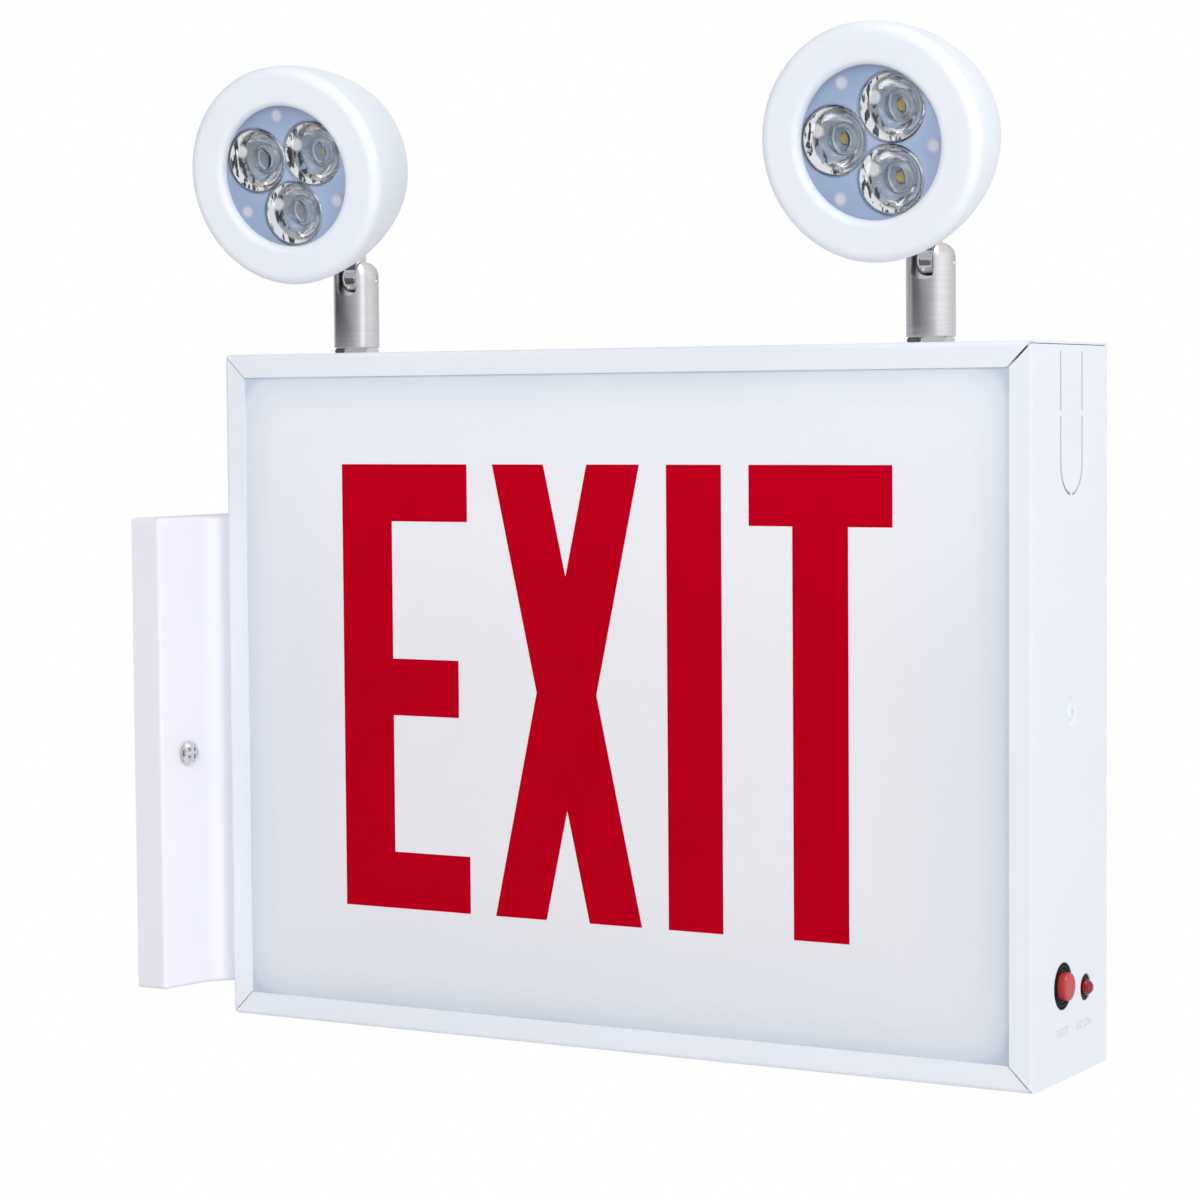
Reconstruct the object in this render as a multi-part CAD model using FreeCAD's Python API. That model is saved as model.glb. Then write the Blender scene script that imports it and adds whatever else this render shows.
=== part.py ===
import FreeCAD, Part
import math
import os
from FreeCAD import Rotation, Vector

# Emergency exit light: a folded steel sign carried on a wall canopy at its left end, with two
# swivelling lamp heads on its top.  Millimetres.  The wall is the plane X = 0 and the sign reaches
# out along +X, its legend faces -Y, and +Z is up.  The origin is the centre of the canopy's wall
# side, which is also the centre of the junction-box slots in the mounting bar.

# ---- Driving dimensions ----
HOUSING_WIDTH = 405.0
HOUSING_HEIGHT = 310.0
HOUSING_DEPTH = 85.0
SHEET = 1.0                 # steel thickness of housing, cap and back
BEND = 2.2                  # outside radius of a fold
FLANGE = 10.8               # border that frames the legend
MITRE_GAP = 0.45            # slit where two flanges of one folded sheet meet
CAP_GAP_LOW = 0.8           # wider slits between the strip and the removable cap, along X
CAP_GAP_HIGH = 1.3
CAP_PLAY = 0.3              # between the cap and the strip's sheet
PANEL_THICKNESS = 3.0

CANOPY_LENGTH = 220.0       # along Z
CANOPY_WIDTH = 148.0        # along Y
CANOPY_SHEET = 1.5
CANOPY_DEPTH = 31.5         # wall to the raised centre that carries the housing
CANOPY_RIM_DEPTH = 15.7     # wall to the outer edge of the face
CANOPY_CREST = 21.8         # wall to where the face starts to rise
CANOPY_RISE_FOOT = 91.0     # width of the rise at its foot
CANOPY_RISE_TOP = 71.0      # width of the raised centre
CANOPY_CORNER = 2.0         # rounding round the cover's face
CANOPY_BASE_DROP = 124.5    # canopy centre above the housing's underside
CANOPY_SCREW_SPACING = 116.8
BOX_SCREW_SPACING = 88.9    # slots for the two screws of a junction box

POST_SPACING = 291.4        # between the two swivel posts
POST_SETBACK = 26.4         # front flange to the posts' axis
POST_RADIUS = 10.45
POST_LENGTH = 39.7
POST_DOME = 6.5             # rounding of the post's top
PIVOT_HEIGHT = 34.8         # tilt axis above the housing's top
NUT_HEIGHT = 2.6            # locknut under the post
NUT_FLATS = 17.6
FORK_SLOT = 10.4
FORK_DEPTH = 8.2            # slot bottom below the tilt axis
FORK_CORNER = 3.5
LEAF_WIDTH = 9.2
LEAF_RADIUS = 6.6
PIN_RADIUS = 2.0
NIPPLE_RADIUS = 5.0
WIRE_BORE = 3.0
RUNNING = 0.05              # radial clearance of a turning fit
SNUG = 0.02                 # radial clearance of a fixed round fit

HEAD_RADIUS = 48.8          # at the front rim
HEAD_WAIST_RADIUS = 47.0    # halfway back: the side is gently crowned
HEAD_BACK_RADIUS = 40.6
HEAD_LENGTH = 43.0
HEAD_WALL = 2.2
HEAD_OPENING = 31.5         # radius
HEAD_FACE = 4.5             # thickness of the face ring
HEAD_RISE = 54.2            # lamp axis above the tilt axis, when level
HEAD_REACH = 55.6           # front plane ahead of the tilt axis, when level
REST_TILT = {"left": -10.6, "right": -9.1}   # lamps look a little down
REST_PAN = {"left": 3.7, "right": 0.4}       # and almost straight ahead
LENS_RADIUS = 14.5
LENS_PITCH = 16.8           # lens centres from the lamp axis
LENS_DEPTH = 14.0
LENS_EDGE = 2.0             # straight rim of each collimator, and the plate's thickness
LENS_BACK = 7.2             # small end of each collimator
LENS_ROLL = {"left": 34.0, "right": 55.0}    # angle of the first lens around the lamp axis
EMITTER_CAVITY = 5.6
CAVITY_FLOOR = 5.1          # its radius at the bottom
CAVITY_DEPTH = 6.5
CAVITY_LENS = 1.5           # rise of the small lens on the bottom
PEG_PITCH = 27.2
PEG_RADIUS = 2.6

BUTTON_RADIUS = 5.9
BUTTON_PROUD = 3.4
BUTTON_TRAVEL = 2.5
BUTTON_BACKSET = 33.4       # front flange to the button's axis
BUTTON_HEIGHT = 40.0        # above the housing's underside
BUTTON_HOLE = 10.1          # radius
PILOT_RADIUS = 3.4
PILOT_BACKSET = 58.6
PILOT_HEIGHT = 35.8
PILOT_HOLE = 5.8            # radius

# ---- Places worked out from them ----
LEFT = CANOPY_DEPTH
RIGHT = LEFT + HOUSING_WIDTH
FRONT = -HOUSING_DEPTH / 2
BACK = HOUSING_DEPTH / 2
BASE = -CANOPY_BASE_DROP
TOP = BASE + HOUSING_HEIGHT
MIDDLE_X = (LEFT + RIGHT) / 2
MIDDLE_Z = (BASE + TOP) / 2
POST_Y = FRONT + POST_SETBACK
POST_X = {"left": MIDDLE_X - POST_SPACING / 2, "right": MIDDLE_X + POST_SPACING / 2}
PIVOT_Z = TOP + PIVOT_HEIGHT
PANEL_BACK = FRONT + SHEET + PANEL_THICKNESS
TRAY_SHEET = 0.8
TRAY_DEPTH = 22.0
TRAY_FLOOR = PANEL_BACK + TRAY_DEPTH          # rear face of the tray's floor
TRAY_INSET = 14.0                             # tray wall inside the housing's top and bottom
TRAY_END = RIGHT - 30.0                       # the tray stops short of the test switch

X = Vector(1, 0, 0)
Y = Vector(0, 1, 0)
Z = Vector(0, 0, 1)


# ---- Small helpers ----
def block(x0, x1, y0, y1, z0, z1):
    return Part.makeBox(x1 - x0, y1 - y0, z1 - z0, Vector(x0, y0, z0))


def rod(radius, start, end):
    """A round bar from one point to another."""
    run = end - start
    return Part.makeCylinder(radius, run.Length, start, run)


def tube(outer, inner, start, end):
    return rod(outer, start, end).cut(rod(inner, start, end))


def prism(points, run):
    """A straight-sided solid: a closed outline swept along a vector."""
    return Part.Face(Part.makePolygon(points + points[:1])).extrude(run)


def turned(outline, centre, axis, across):
    """A lathe form turned about an axis.

    Each point of the outline is (radius, distance along the axis).  A point with two more values,
    (radius, distance, via radius, via distance), is reached along an arc through the via point.
    """
    def placed(r, s):
        return centre + across * r + axis * s
    edges = []
    previous = outline[-1][:2]
    for point in outline:
        start, end = placed(*previous), placed(*point[:2])
        if len(point) == 4:
            edges.append(Part.Arc(start, placed(*point[2:]), end).toShape())
        else:
            edges.append(Part.makeLine(start, end))
        previous = point[:2]
    return Part.Face(Part.Wire(edges)).revolve(centre, axis, 360)


def hex_nut(flats, bore, start, end):
    """A hex nut, corners chamfered, with a vertex on the axis across its run."""
    height = (end - start).Length
    along = (end - start) * (1 / height)
    across = Y if abs(along.y) < 0.5 else Z
    corner = flats / math.sqrt(3)
    points = [start + Rotation(along, 60 * k).multVec(across) * corner for k in range(6)]
    side = along.cross(across)
    chamfer = (corner - flats / 2) * 0.6
    barrel = [(0, 0), (corner - chamfer, 0), (corner, chamfer), (corner, height - chamfer),
              (corner - chamfer, height), (0, height)]
    nut = prism(points, along * height).common(turned(barrel, start, along, side))
    return nut.cut(rod(bore, start, end))


def rounded(shape, radius, test):
    """Fillet the edges whose middle point and direction pass a test."""
    edges = []
    for edge in shape.Edges:
        middle = edge.valueAt((edge.FirstParameter + edge.LastParameter) / 2)
        start, end = edge.valueAt(edge.FirstParameter), edge.valueAt(edge.LastParameter)
        span = end - start
        run = "c"
        if edge.Curve.TypeId == "Part::GeomLine":
            run = max((abs(span.x), "x"), (abs(span.y), "y"), (abs(span.z), "z"))[1]
        if test(middle, run):
            edges.append(edge)
    return shape.makeFillet(radius, edges)


def near(value, *targets):
    return any(abs(value - target) < 0.05 for target in targets)


def at_pivot(shape, side):
    """Carry a shape drawn level, about the tilt axis as origin, to its place on one post."""
    shape = shape.copy()
    shape.rotate(Vector(), X, -REST_TILT[side])
    shape.rotate(Vector(), Z, REST_PAN[side])
    shape.translate(Vector(POST_X[side], POST_Y, PIVOT_Z))
    return shape


# ---- Housing: one folded strip, and the removable end cap ----
def case_form(inset, right):
    """The housing's box, inset by a thickness, its lengthwise and left-hand folds rounded."""
    left = LEFT + inset
    form = block(left, right, FRONT + inset, BACK - inset, BASE + inset, TOP - inset)
    return rounded(form, BEND - inset, lambda m, run: run == "x" or (run in "yz" and near(m.x, left)))


def mitre_slit(corner, inward_x, inward_z, y0, y1):
    """A narrow slit at 45 degrees from just inside the fold to a flange's inner corner."""
    half = MITRE_GAP / math.sqrt(2) / 2
    start, reach = BEND * 0.45, FLANGE + 1.0
    ends = ((start, half), (reach, half), (reach, -half), (start, -half))
    points = [Vector(corner.x + inward_x * (a + d), y0, corner.z + inward_z * (a - d)) for a, d in ends]
    return prism(points, Y * (y1 - y0))


def cap_flange_zone(low, high, y0, y1):
    """The mitred field at the right end that belongs to the cap's flange, seen from the front.

    It grows to the left by one amount at its foot and another at its head.
    """
    points = [Vector(x, y0, z) for x, z in (
        (RIGHT - FLANGE - low, BASE + FLANGE), (RIGHT - low, BASE), (RIGHT + 2, BASE - 2),
        (RIGHT + 2, TOP + 2), (RIGHT - high, TOP), (RIGHT - FLANGE - high, TOP - FLANGE))]
    return prism(points, Y * (y1 - y0))


def housing_shell():
    """Folded strip open at the right: bottom sheet behind the cap's plate, top sheet over it."""
    shell = case_form(0, RIGHT).cut(case_form(SHEET, RIGHT + 5))
    for y0, y1 in ((FRONT - 1, FRONT + SHEET), (BACK - SHEET, BACK + 1)):
        window = block(LEFT + FLANGE, RIGHT + 1, y0 - 1, y1 + 1, BASE + FLANGE, TOP - FLANGE)
        shell = shell.cut(window)
        shell = shell.cut(cap_flange_zone(CAP_GAP_LOW / 2, CAP_GAP_HIGH / 2, y0, y1))
        for z, up in ((BASE, 1), (TOP, -1)):
            shell = shell.cut(mitre_slit(Vector(LEFT, 0, z), 1, up, y0, y1))
    stop = RIGHT - SHEET - CAP_PLAY
    shell = shell.cut(block(stop, RIGHT + 1, FRONT - 1, BACK + 1, BASE - 1, TOP - SHEET))
    for x in POST_X.values():
        hole = Vector(x, POST_Y, TOP)
        shell = shell.cut(rod(NIPPLE_RADIUS + SNUG, hole - Z * 3, hole + Z))
    shell = shell.cut(rod(HUB_NIPPLE + SNUG, Vector(LEFT - 1, 0, 0), Vector(LEFT + 2, 0, 0)))
    for z in HUB_SCREW_Z:
        shell = shell.cut(rod(HUB_SCREW + SNUG, Vector(LEFT - 1, 0, z), Vector(LEFT + 2, 0, z)))
    return shell


KNOCKOUT_HALF = 11.85
KNOCKOUT_SLIT = 1.1
KNOCKOUT_SHOULDER = 51.0      # below the top, where the straight legs end
KNOCKOUT_ARCH = 13.05         # radius of each half of the pointed arch
KNOCKOUT_TIE = 30.0           # below the top, where small ties bridge the legs
TIE = 2.4


def knockout_outline(half, arch, x):
    """Closed outline of the knockout: two straight legs that meet in a pointed arch."""
    top, shoulder = TOP - 4.0, TOP - KNOCKOUT_SHOULDER
    drop = math.sqrt(arch ** 2 - (arch - half) ** 2)
    sweep = math.asin(drop / arch) / 2
    reach = arch * math.cos(sweep) - (arch - half)
    sag = arch * math.sin(sweep)
    edges = [Part.makeLine(Vector(x, -half, shoulder), Vector(x, -half, top)),
             Part.makeLine(Vector(x, -half, top), Vector(x, half, top)),
             Part.makeLine(Vector(x, half, top), Vector(x, half, shoulder))]
    for side in (1, -1):
        edges.append(Part.Arc(Vector(x, side * half, shoulder), Vector(x, side * reach, shoulder - sag),
                              Vector(x, 0, shoulder - drop)).toShape())
    return Part.Face(Part.Wire(Part.__sortEdges__(edges)))


def knockout_slits():
    """The slits that outline the knockout, broken by its ties and left whole across the top."""
    x = RIGHT - SHEET - 1
    half = KNOCKOUT_SLIT / 2
    outer = knockout_outline(KNOCKOUT_HALF + half, KNOCKOUT_ARCH + half, x)
    inner = knockout_outline(KNOCKOUT_HALF - half, KNOCKOUT_ARCH - half, x)
    slits = outer.cut(inner).extrude(X * (SHEET + 2))
    head = (KNOCKOUT_HALF - half, TOP - 8, TOP)
    waist = (20, TOP - KNOCKOUT_TIE - TIE / 2, TOP - KNOCKOUT_TIE + TIE / 2)
    point = (TIE / 2, TOP - 75, TOP - 55)
    for width, z0, z1 in (head, waist, point):
        slits = slits.cut(block(x - 1, RIGHT + 2, -width, width, z0, z1))
    return slits


DIMPLE_RADIUS = 6.5
DIMPLE_DEPTH = 0.9
CAP_SCREW_HEAD = 3.6
CAP_SCREW = 1.75


def end_cap():
    """Cover plate with two return flanges, a tab at its head and foot, and the formed features."""
    z0, z1 = BASE, TOP - SHEET - CAP_PLAY
    outer = rounded(block(RIGHT - FLANGE, RIGHT, FRONT, BACK, z0, z1), BEND,
                    lambda m, run: run == "z" and near(m.x, RIGHT))
    inner = rounded(block(RIGHT - 40, RIGHT - SHEET, FRONT + SHEET, BACK - SHEET, z0 - 1, z1 + 1),
                    BEND - SHEET, lambda m, run: run == "z" and near(m.x, RIGHT - SHEET))
    cap = outer.cut(inner)
    for y0, y1 in ((FRONT - 1, FRONT + SHEET), (BACK - SHEET, BACK + 1)):
        mitred = cap_flange_zone(-CAP_GAP_LOW / 2, -CAP_GAP_HIGH / 2, y0, y1)
        band = block(RIGHT - FLANGE - 1, RIGHT + 1, y0, y1, z0, z1)
        cap = cap.cut(band.cut(mitred))
    relief = BEND + CAP_PLAY
    for y0, y1 in ((FRONT + SHEET, FRONT + relief), (BACK - relief, BACK - SHEET)):
        for z in (BASE, TOP):
            cap = cap.cut(block(RIGHT - 20, RIGHT - SHEET, y0, y1, z - relief, z + relief))
    foot = BASE + SHEET + CAP_PLAY
    for tab in (foot, z1 - SHEET):
        cap = cap.fuse(block(RIGHT - 14, RIGHT - SHEET, -30, 30, tab, tab + SHEET))
    middle = Vector(RIGHT, 0, MIDDLE_Z)
    formed = [(0, -SHEET), (DIMPLE_RADIUS + 1, -SHEET), (DIMPLE_RADIUS - 1, -SHEET - DIMPLE_DEPTH),
              (0, -SHEET - DIMPLE_DEPTH)]
    cap = cap.fuse(turned(formed, middle, X, Y))
    pressed = [(0, 1), (DIMPLE_RADIUS, 1), (DIMPLE_RADIUS, 0), (DIMPLE_RADIUS - 2, -DIMPLE_DEPTH),
               (0, -DIMPLE_DEPTH)]
    cap = cap.cut(turned(pressed, middle, X, Y))
    cap = cap.cut(rod(CAP_SCREW + SNUG, middle - X * 4, middle + X))
    cap = cap.cut(knockout_slits())
    for place, radius in ((button_place(), BUTTON_HOLE), (pilot_place(), PILOT_HOLE)):
        cap = cap.cut(rod(radius, place - X * 3, place + X))
    return cap


def cross_recess(centre, along, size, depth):
    """A cross cut into a screw head, looking down the screw's run."""
    across = Y if abs(along.y) < 0.5 else Z
    other = along.cross(across)
    cross = None
    for a, b in ((across, other), (other, across)):
        corners = [centre + a * (size * i) + b * (size * 0.16 * j)
                   for i, j in ((-1, -1), (1, -1), (1, 1), (-1, 1))]
        bar = prism(corners, along * depth)
        cross = bar if cross is None else cross.fuse(bar)
    return cross


def end_cap_screw():
    head = Vector(RIGHT - DIMPLE_DEPTH, 0, MIDDLE_Z)
    form = [(0, 0), (CAP_SCREW_HEAD, 0), (CAP_SCREW_HEAD, 0.5), (CAP_SCREW_HEAD - 0.7, 1.1), (0, 1.3)]
    screw = turned(form, head, X, Y).fuse(rod(CAP_SCREW, head - X * 9, head))
    return screw.cut(cross_recess(head + X * 1.4, X * -1, 1.7, 0.9))


# ---- Test switch and pilot lamp on the cap ----
def button_place():
    return Vector(RIGHT, FRONT + BUTTON_BACKSET, BASE + BUTTON_HEIGHT)


def pilot_place():
    return Vector(RIGHT, FRONT + PILOT_BACKSET, BASE + PILOT_HEIGHT)


SWITCH_RECESS = 0.1           # bezel face behind the cap's outer face
SWITCH_BODY = 14.0
BEZEL_GROOVES = ((8.9, 9.4), (7.2, 7.9))   # inner and outer radius of each
BEZEL_GROOVE_DEPTH = 0.7


def test_switch():
    """Black switch: a grooved bezel in the cap's hole, a collar behind the sheet, a square body."""
    place = button_place()
    front = RIGHT - SHEET - 2.5
    back = front - SWITCH_BODY
    bezel = rod(BUTTON_HOLE - 0.15, place - X * (SHEET + 0.5), place - X * SWITCH_RECESS)
    for inner, outer in BEZEL_GROOVES:
        floor = place - X * (SWITCH_RECESS + BEZEL_GROOVE_DEPTH)
        bezel = bezel.cut(tube(outer, inner, floor, place + X))
    collar = rod(BUTTON_HOLE + 1.6, place - X * (SHEET + 2.5), place - X * SHEET)
    half = BUTTON_HOLE - 1.5
    body = block(back, front, place.y - half, place.y + half, place.z - half, place.z + half)
    body = rounded(body, 1.5, lambda m, run: run == "x")
    switch = bezel.fuse(collar).fuse(body)
    throat = BUTTON_RADIUS + 0.35
    switch = switch.cut(rod(throat, place - X * (SWITCH_BODY - 2), place + X))
    for dz in (-4, 4):
        z = place.z + dz
        switch = switch.fuse(block(back - 6, back, place.y - 0.4, place.y + 0.4, z - 1.6, z + 1.6))
    return switch


def test_button():
    """Turned button with a softened rim and a stem that reaches back into the switch."""
    edge, stem = 0.7, 3.0
    shoulder, foot = -3.5, -(SWITCH_BODY - 2 - BUTTON_TRAVEL - 0.6)
    form = [(0, BUTTON_PROUD), (BUTTON_RADIUS - edge, BUTTON_PROUD),
            (BUTTON_RADIUS - 0.2, BUTTON_PROUD - 0.25), (BUTTON_RADIUS, BUTTON_PROUD - edge),
            (BUTTON_RADIUS, shoulder), (stem, shoulder), (stem, foot), (0, foot)]
    return turned(form, button_place(), X, Y)


def pilot_holder():
    """Black snap-in bush that fills the pilot hole and holds the lamp."""
    place = pilot_place()
    bush = rod(PILOT_HOLE - 0.1, place - X * (SHEET + 0.5), place - X * 0.5)
    collar = rod(PILOT_HOLE + 1.2, place - X * (SHEET + 4), place - X * SHEET)
    return bush.fuse(collar).cut(rod(PILOT_RADIUS + SNUG, place - X * 9, place + X))


def pilot_lamp():
    place = pilot_place()
    lens = rod(PILOT_RADIUS, place - X * 9, place).fuse(Part.makeSphere(PILOT_RADIUS, place))
    flange = rod(PILOT_RADIUS + 0.9, place - X * (SHEET + 5.2), place - X * (SHEET + 4))
    lamp = lens.fuse(flange)
    for dz in (-1.3, 1.3):
        foot = place + Z * dz - X * 9
        lamp = lamp.fuse(rod(0.3, foot - X * 9, foot))
    return lamp


# ---- Legend side and the light box behind it ----
def legend_panel():
    edge = BEND + 0.2
    return block(LEFT + edge, RIGHT - edge, FRONT + SHEET, PANEL_BACK, BASE + edge, TOP - edge)


def light_tray():
    """White pan behind the legend: lips, walls and floor in one folded sheet, with an end tab."""
    edge = BEND + 0.2
    x0, x1 = LEFT + TRAY_INSET, TRAY_END
    z0, z1 = BASE + TRAY_INSET, TOP - TRAY_INSET
    lip = block(LEFT + edge, RIGHT - edge, PANEL_BACK, PANEL_BACK + TRAY_SHEET, BASE + edge, TOP - edge)
    pan = block(x0, x1, PANEL_BACK, TRAY_FLOOR, z0, z1)
    hollow = block(x0 + TRAY_SHEET, x1 - TRAY_SHEET, PANEL_BACK - 1, TRAY_FLOOR - TRAY_SHEET,
                   z0 + TRAY_SHEET, z1 - TRAY_SHEET)
    tray = lip.fuse(pan).cut(hollow)
    tab_x = RIGHT - SHEET - DIMPLE_DEPTH
    strip = block(x1 - 5, tab_x, TRAY_FLOOR - TRAY_SHEET, TRAY_FLOOR, MIDDLE_Z - 14, MIDDLE_Z + 14)
    tab = block(tab_x - TRAY_SHEET, tab_x, TRAY_FLOOR - TRAY_SHEET, 12, MIDDLE_Z - 14, MIDDLE_Z + 14)
    tray = tray.fuse(strip).fuse(tab)
    return tray.cut(rod(CAP_SCREW + SNUG, Vector(tab_x - 3, 0, MIDDLE_Z), Vector(RIGHT, 0, MIDDLE_Z)))


STRIP_LENGTH = 330.0
STRIP_HEIGHT = 12.0
STRIP_LEDS = 11


def led_strip(offset):
    """A circuit strip on the tray's floor with a row of small square lamps facing the legend."""
    face = TRAY_FLOOR - TRAY_SHEET
    middle = (LEFT + TRAY_INSET + TRAY_END) / 2
    z = MIDDLE_Z + offset
    strip = block(middle - STRIP_LENGTH / 2, middle + STRIP_LENGTH / 2, face - 1.6, face,
                  z - STRIP_HEIGHT / 2, z + STRIP_HEIGHT / 2)
    pitch = STRIP_LENGTH / STRIP_LEDS
    for k in range(STRIP_LEDS):
        x = middle + (k - (STRIP_LEDS - 1) / 2) * pitch
        strip = strip.fuse(block(x - 2.5, x + 2.5, face - 2.8, face - 1.6, z - 2.5, z + 2.5))
    return strip


BACK_RETURN = 9.0


def back_panel():
    """Blank back: a sheet behind the rear flanges with a return along its top and bottom."""
    x0, x1 = LEFT + BEND + 0.2, RIGHT - BEND - 0.2
    y0, y1 = BACK - SHEET - BACK_RETURN, BACK - SHEET
    z0, z1 = BASE + SHEET, TOP - SHEET
    panel = rounded(block(x0, x1, y0, y1, z0, z1), BEND - SHEET + 0.1,
                    lambda m, run: run == "x" and near(m.y, y1))
    panel = panel.cut(block(x0 - 1, x1 + 1, y0 - 1, y1 - SHEET, z0 + SHEET, z1 - SHEET))
    for end0, end1 in ((x0 - 1, x0 + 20), (x1 - 20, x1 + 1)):
        panel = panel.cut(block(end0, end1, y0 - 1, y1 - 2 * SHEET, z0 - 1, z1 + 1))
    return panel


# ---- Battery, transformer and charger behind the tray ----
BATTERY = Vector(70, 47, 98)
BATTERY_X = LEFT + 60
STRAP = 0.8


def battery():
    x0, y0, z0 = BATTERY_X, TRAY_FLOOR, BASE + SHEET
    case = block(x0, x0 + BATTERY.x, y0, y0 + BATTERY.y, z0, z0 + BATTERY.z)
    case = rounded(case, 2.0, lambda m, run: run == "z" or near(m.z, z0 + BATTERY.z))
    for dx in (12, BATTERY.x - 12):
        tab = block(x0 + dx - 0.4, x0 + dx + 0.4, y0 + 12, y0 + 18.3, z0 + BATTERY.z, z0 + BATTERY.z + 7)
        case = case.fuse(tab)
    return case


def battery_strap():
    """Steel band round the battery, its two feet flat on the tray's floor."""
    x0, x1 = BATTERY_X, BATTERY_X + BATTERY.x
    y0, y1 = TRAY_FLOOR, TRAY_FLOOR + BATTERY.y
    z0, z1 = BASE + 45, BASE + 65
    band = block(x0 - STRAP, x1 + STRAP, y0, y1 + STRAP, z0, z1)
    band = band.cut(block(x0, x1, y0 - 1, y1, z0 - 1, z1 + 1))
    for foot0, foot1 in ((x0 - 14, x0), (x1, x1 + 14)):
        band = band.fuse(block(foot0, foot1, y0, y0 + STRAP, z0, z1))
    return band


def transformer():
    """Laminated core standing in a bent bracket, with the coil bobbin through its window."""
    x, y0, z0 = LEFT + 235, TRAY_FLOOR, BASE + SHEET
    core = block(x - 26, x + 26, y0 + 8, y0 + 30, z0 + 1.2, z0 + 45)
    coil = block(x - 16, x + 16, y0 + 1, y0 + 37, z0 + 9, z0 + 37)
    coil = rounded(coil, 4.0, lambda m, run: run == "z")
    bracket = block(x - 38, x + 38, y0 + 9, y0 + 29, z0, z0 + 1.2)
    for side in (-1, 1):
        a, b = sorted((x + side * 26, x + side * 27.2))
        bracket = bracket.fuse(block(a, b, y0 + 9, y0 + 29, z0, z0 + 46.2))
    bracket = bracket.fuse(block(x - 27.2, x + 27.2, y0 + 9, y0 + 29, z0 + 45, z0 + 46.2))
    body = core.fuse(coil).fuse(bracket)
    for side in (-1, 1):
        ear = Vector(x + side * 33, y0 + 19, z0 - 1)
        body = body.cut(rod(2.0, ear, ear + Z * 4))
    return body


BOARD_X = LEFT + 150
BOARD_SIZE = Vector(120, 1.6, 80)
BOARD_LIFT = 6.0


def board_corners():
    z0 = MIDDLE_Z + 10
    return [Vector(BOARD_X + dx, TRAY_FLOOR, z0 + dz)
            for dx in (6, BOARD_SIZE.x - 6) for dz in (6, BOARD_SIZE.z - 6)]


def charger_board():
    """Circuit board with relay, capacitors, terminal block and heat sink."""
    x0, z0 = BOARD_X, MIDDLE_Z + 10
    y0 = TRAY_FLOOR + BOARD_LIFT
    y1 = y0 + BOARD_SIZE.y
    board = block(x0, x0 + BOARD_SIZE.x, y0, y1, z0, z0 + BOARD_SIZE.z)
    relay = block(x0 + 18, x0 + 37, y1, y1 + 15, z0 + 20, z0 + 35)
    terminals = block(x0 + 70, x0 + 110, y1, y1 + 10, z0 + 4, z0 + 14)
    sink = block(x0 + 50, x0 + 52, y1, y1 + 22, z0 + 40, z0 + 70)
    for k in range(4):
        sink = sink.fuse(block(x0 + 52, x0 + 60, y1, y1 + 22, z0 + 41 + 9 * k, z0 + 42.2 + 9 * k))
    for piece in (relay, terminals, sink):
        board = board.fuse(piece)
    for dx, dz, r, h in ((80, 35, 8, 25), (100, 35, 5, 12), (80, 60, 6.3, 16), (22, 58, 5, 12)):
        foot = Vector(x0 + dx, y1, z0 + dz)
        board = board.fuse(rod(r, foot, foot + Y * h))
    for corner in board_corners():
        board = board.cut(rod(1.75, corner, corner + Y * 20))
    return board


def board_standoffs():
    """Four nylon pillars, each with a snap nose through the board."""
    pillars = []
    for corner in board_corners():
        pillar = rod(3.0, corner, corner + Y * BOARD_LIFT)
        nose = rod(1.7, corner + Y * BOARD_LIFT, corner + Y * (BOARD_LIFT + BOARD_SIZE.y))
        tip = corner + Y * (BOARD_LIFT + BOARD_SIZE.y)
        pillars.append(pillar.fuse(nose).fuse(Part.makeCone(2.3, 1.0, 2.0, tip, Y)))
    return Part.makeCompound(pillars)


# ---- Canopy and what fastens it ----
HUB_NIPPLE = 6.6
HUB_NUT_FLATS = 19.0
HUB_SCREW = 2.4
HUB_SCREW_Z = (-60.0, 60.0)


def canopy_form(inset):
    """The pressed cover's outside, or its inside when inset by the sheet."""
    rim, crest, crown = (d - inset for d in (CANOPY_RIM_DEPTH, CANOPY_CREST, CANOPY_DEPTH))
    edge, foot, top = (w / 2 - inset for w in (CANOPY_WIDTH, CANOPY_RISE_FOOT, CANOPY_RISE_TOP))
    end = CANOPY_LENGTH / 2 - inset
    wall = -5.0 if inset else 0.0
    half = [(wall, edge), (rim, edge), (crest, foot), (crown, top)]
    outline = [Vector(x, -y, -end) for x, y in half] + [Vector(x, y, -end) for x, y in reversed(half)]
    form = prism(outline, Z * (2 * end))
    form = rounded(form, 9.0, lambda m, run: run == "z" and near(abs(m.y), foot))
    form = rounded(form, 5.0, lambda m, run: run == "z" and near(abs(m.y), top))
    return rounded(form, CANOPY_CORNER - inset, lambda m, run: m.x > wall + 0.5 and (
        near(abs(m.z), end) or (run == "z" and near(abs(m.y), edge))))


def canopy_cover():
    cover = canopy_form(0).cut(canopy_form(CANOPY_SHEET))
    for side in (-1, 1):
        hole = Vector(0, side * CANOPY_SCREW_SPACING / 2, 0)
        cover = cover.cut(rod(2.4, hole, hole + X * CANOPY_DEPTH))
    cover = cover.cut(rod(HUB_NIPPLE + SNUG, Vector(20, 0, 0), Vector(LEFT + 1, 0, 0)))
    for z in HUB_SCREW_Z:
        cover = cover.cut(rod(HUB_SCREW + SNUG, Vector(20, 0, z), Vector(LEFT + 1, 0, z)))
    return cover


BAR = Vector(2.0, 130.0, 24.0)
BOX_SLOT_RADIUS = 2.4
BOX_SLOT_LENGTH = 12.0


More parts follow.
